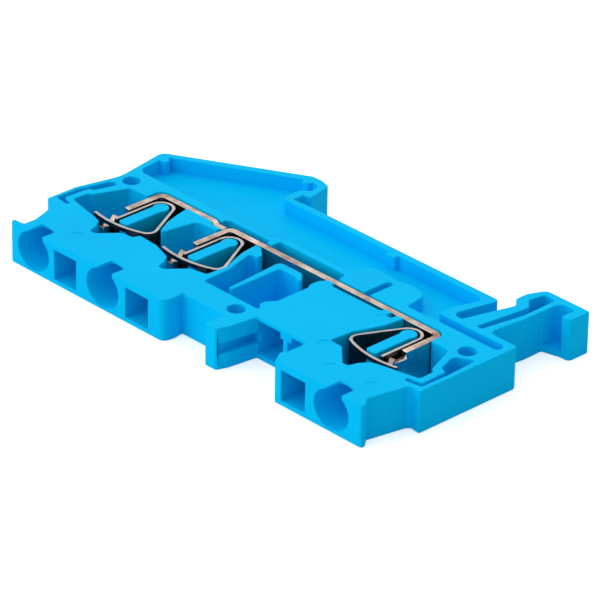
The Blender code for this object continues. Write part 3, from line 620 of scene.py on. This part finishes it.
def run_on(work, ends, length, heading):
    """Draws the strip out straight."""
    made = bmesh.ops.extrude_face_region(work, geom=ends)["geom"]
    verts = [item for item in made if isinstance(item, bmesh.types.BMVert)]
    angle = math.radians(heading)
    bmesh.ops.translate(work, verts=verts, vec=(length * math.cos(angle), length * math.sin(angle), 0))
    return [item for item in made if isinstance(item, bmesh.types.BMFace)]


def bend(work, ends, centre, angle, steps):
    """Bends the strip on about a centre."""
    made = bmesh.ops.spin(
        work,
        geom=ends,
        cent=(*centre, 0),
        axis=(0, 0, 1),
        angle=math.radians(angle),
        steps=steps,
        use_duplicate=False,
    )["geom_last"]
    return [item for item in made if isinstance(item, bmesh.types.BMFace)]


def beside(x, y, heading, radius):
    """The centre of a bend to the right, at a distance from a point of the strip."""
    angle = math.radians(heading - 90)
    return (x + radius * math.cos(angle), y + radius * math.sin(angle))


def centre_of(ends):
    """Where the strip has got to."""
    middle = ends[0].calc_center_median()
    return (middle.x, middle.y)


def spring_top():
    """Limb, crown and slope: the half of the spring that holds the crown."""
    work, ends = strip_start(*LIMB, 90)
    ends = run_on(work, ends, LIMB_LENGTH, 90)
    ends = bend(work, ends, CROWN, -CROWN_TURN, 22)
    ends = run_on(work, ends, SLOPE_LENGTH, 90 - CROWN_TURN)
    return work, centre_of(ends)


def spring_bottom(start):
    """Nose and clamping leg: the half that turns as one."""
    heading = 90 - CROWN_TURN
    work, ends = strip_start(*start, heading)
    ends = bend(work, ends, beside(*start, heading, NOSE_RADIUS), -NOSE_TURN, 14)
    heading -= NOSE_TURN
    ends = bend(work, ends, beside(*centre_of(ends), heading, LEG_RADIUS), -LEG_TURN, 12)
    return work, centre_of(ends)


top, start = spring_top()
bottom, stop = spring_bottom(start)
print("Strip turns the nose at", start, "and ends at", stop)

# %% [markdown]
# The window is punched through the leg, so that the bar's tongue and the wire can pass it.

# %% Window in the leg
WINDOW = (4.25, 1.6, 3.1)
WINDOW_MIDDLE = (1.175, -2.6, 2.85)

tool = bmesh.new()
bmesh.ops.create_cube(tool, size=1)
size = Matrix.Diagonal((*WINDOW, 1))
bmesh.ops.transform(tool, matrix=Matrix.Translation(WINDOW_MIDDLE) @ size, verts=tool.verts)
bmesh.ops.recalc_face_normals(bottom, faces=bottom.faces)
windowed = combine(bottom, tool, "DIFFERENCE")
print("Windowed leg of", len(windowed.faces), "faces")

# %% [markdown]
# The strip's cut edges are rounded a little, as tumbling leaves them. Both halves meet in one end
# face, and its edges are left sharp, so that no groove shows where the halves join.

# %% Rounded strip
CUT_RADIUS = 0.05
JOIN_REACH = 0.6

slope = math.radians(90 - CROWN_TURN)
along = Vector((math.cos(slope), math.sin(slope), 0))
join = Vector((*start, (STRIP_LOW + STRIP_HIGH) / 2))


def at_join(edge):
    """True for an edge of the end face in which the halves meet."""
    ways = [vert.co - join for vert in edge.verts]
    flat = all(abs(way.dot(along)) < 0.001 for way in ways)
    return flat and all(way.xy.length < JOIN_REACH for way in ways)


for half in (top, windowed):
    bmesh.ops.remove_doubles(half, verts=half.verts, dist=0.0001)
    bmesh.ops.recalc_face_normals(half, faces=half.faces)
    count = soften(half, CUT_RADIUS, 2, leave={edge for edge in half.edges if at_join(edge)})
    print("Half spring with", count, "rounded edges")

# %% [markdown]
# The clamps stand in three chambers, and the right one faces the other way. A negative scale mirrors
# it and turns its faces inside out, so its normals are worked out again. The half with the limb,
# crown and slope is placed in the frame, and the half with the nose and leg rides on its clamp.

# %% Springs in place
CLAMP_LINE = -16.56
CLAMPS = ((-22.4, 1), (-10.74, 1), (22.4, -1))


def placed(work, leg, side):
    """Moves a spring from its own drawing to its chamber, mirrored where the clamp faces left."""
    moved = work.copy()
    into = Matrix.Scale(MM, 4) @ Matrix.Translation((leg, CLAMP_LINE + SEAT, 0))
    bmesh.ops.transform(moved, matrix=into @ Matrix.Diagonal((side, 1, 1, 1)), verts=moved.verts)
    bmesh.ops.remove_doubles(moved, verts=moved.verts, dist=WELD)
    bmesh.ops.recalc_face_normals(moved, faces=moved.faces)
    return moved


for number, (leg, side) in enumerate(CLAMPS, 1):
    upper_piece = as_object(placed(top, leg, side), f"spring_crown_{number}")
    dress(upper_piece, steel)
    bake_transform(upper_piece)
    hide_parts(f"spring_limb_{number}")
    lower_piece = as_object(placed(windowed, leg, side), f"spring_leg_{number}")
    dress(lower_piece, steel)
    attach(lower_piece, f"clamp_{number}")
    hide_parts(f"spring_clamp_{number}")
    print(upper_piece.name, lower_piece.name)

# %% [markdown]
# ## Finish
# The last line brings the view layer up to date.

bpy.context.view_layer.update()
